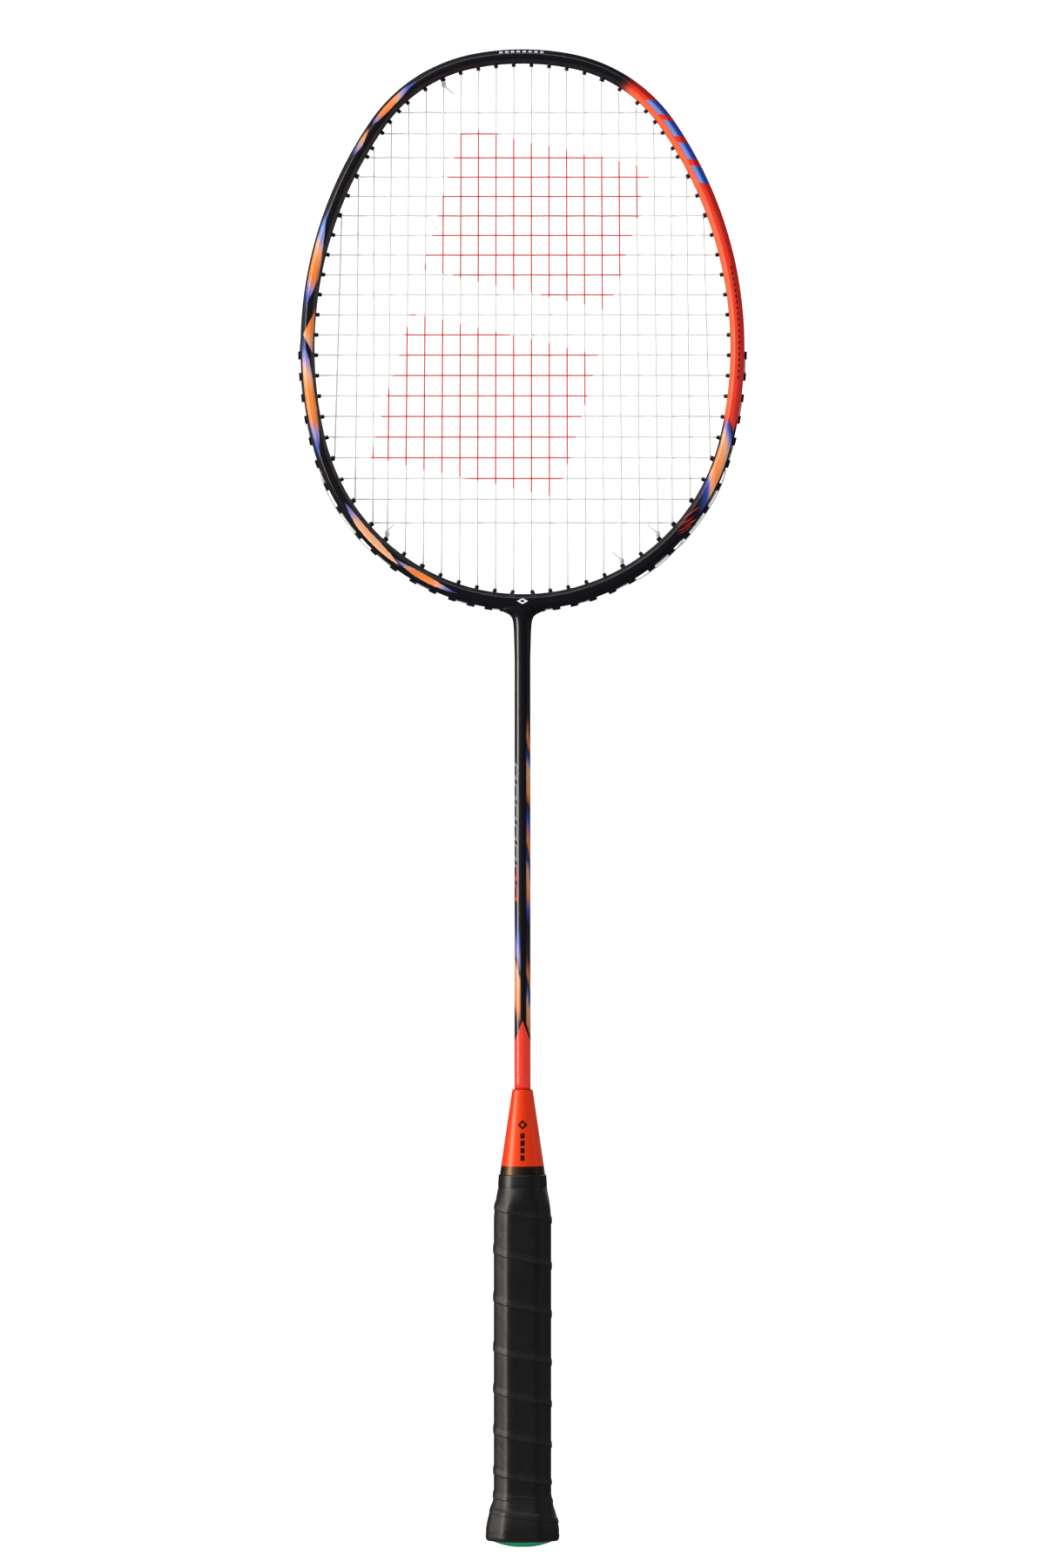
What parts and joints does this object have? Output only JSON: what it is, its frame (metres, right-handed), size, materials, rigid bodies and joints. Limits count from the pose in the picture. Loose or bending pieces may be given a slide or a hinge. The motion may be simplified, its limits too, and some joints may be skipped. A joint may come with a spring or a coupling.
{
  "type": "badminton racket",
  "caption": "Badminton racket with an oval strung head, thin round shaft, tapered cone and tape-wrapped octagonal handle with a flared butt.",
  "frame": {"origin": "centre of the butt end, on the handle's axis, where the hand takes the racket", "axes": "+Z along the shaft from butt to head, X across the head in the plane of the strings, +Y towards the back of the head (its front faces -Y)"},
  "size_m": [0.2026, 0.0302, 0.675],
  "materials": {
    "painted_hoop": "glossy near-black lacquer over carbon, with an orange right side and flame-like flecks",
    "painted_shaft": "glossy near-black lacquer over carbon, orange at the lower end",
    "cone_paint": "glossy orange-red paint, black at the wide end",
    "carbon_insert": "bare moulded carbon insert",
    "grip_tape": "black synthetic leather tape, semi-matte",
    "grip_band": "smooth black finishing band",
    "cap_plastic": "green moulded plastic",
    "handle_wood": "bare sanded wood",
    "grommet_nylon": "black nylon",
    "string_nylon": "white multifilament nylon with a red stencil across the bed"
  },
  "bodies": {
    "root": {"head_frame": "painted_hoop", "t_joint": "carbon_insert", "shaft": "painted_shaft", "cone": "cone_paint", "grip_end_band": "grip_band", "grip_wrap": "grip_tape", "butt_cap": "cap_plastic", "handle_core": "handle_wood", "grommets_top": "grommet_nylon", "grommets_upper_right": "grommet_nylon", "grommets_upper_left": "grommet_nylon", "grommets_lower_right": "grommet_nylon", "grommets_lower_left": "grommet_nylon", "grommets_bottom": "grommet_nylon", "grommets_shared": "grommet_nylon", "grommets_tie_off": "grommet_nylon", "main_string": "string_nylon", "cross_string": "string_nylon", "main_string_knots": "string_nylon", "cross_string_knots": "string_nylon"}
  },
  "joints": []
}
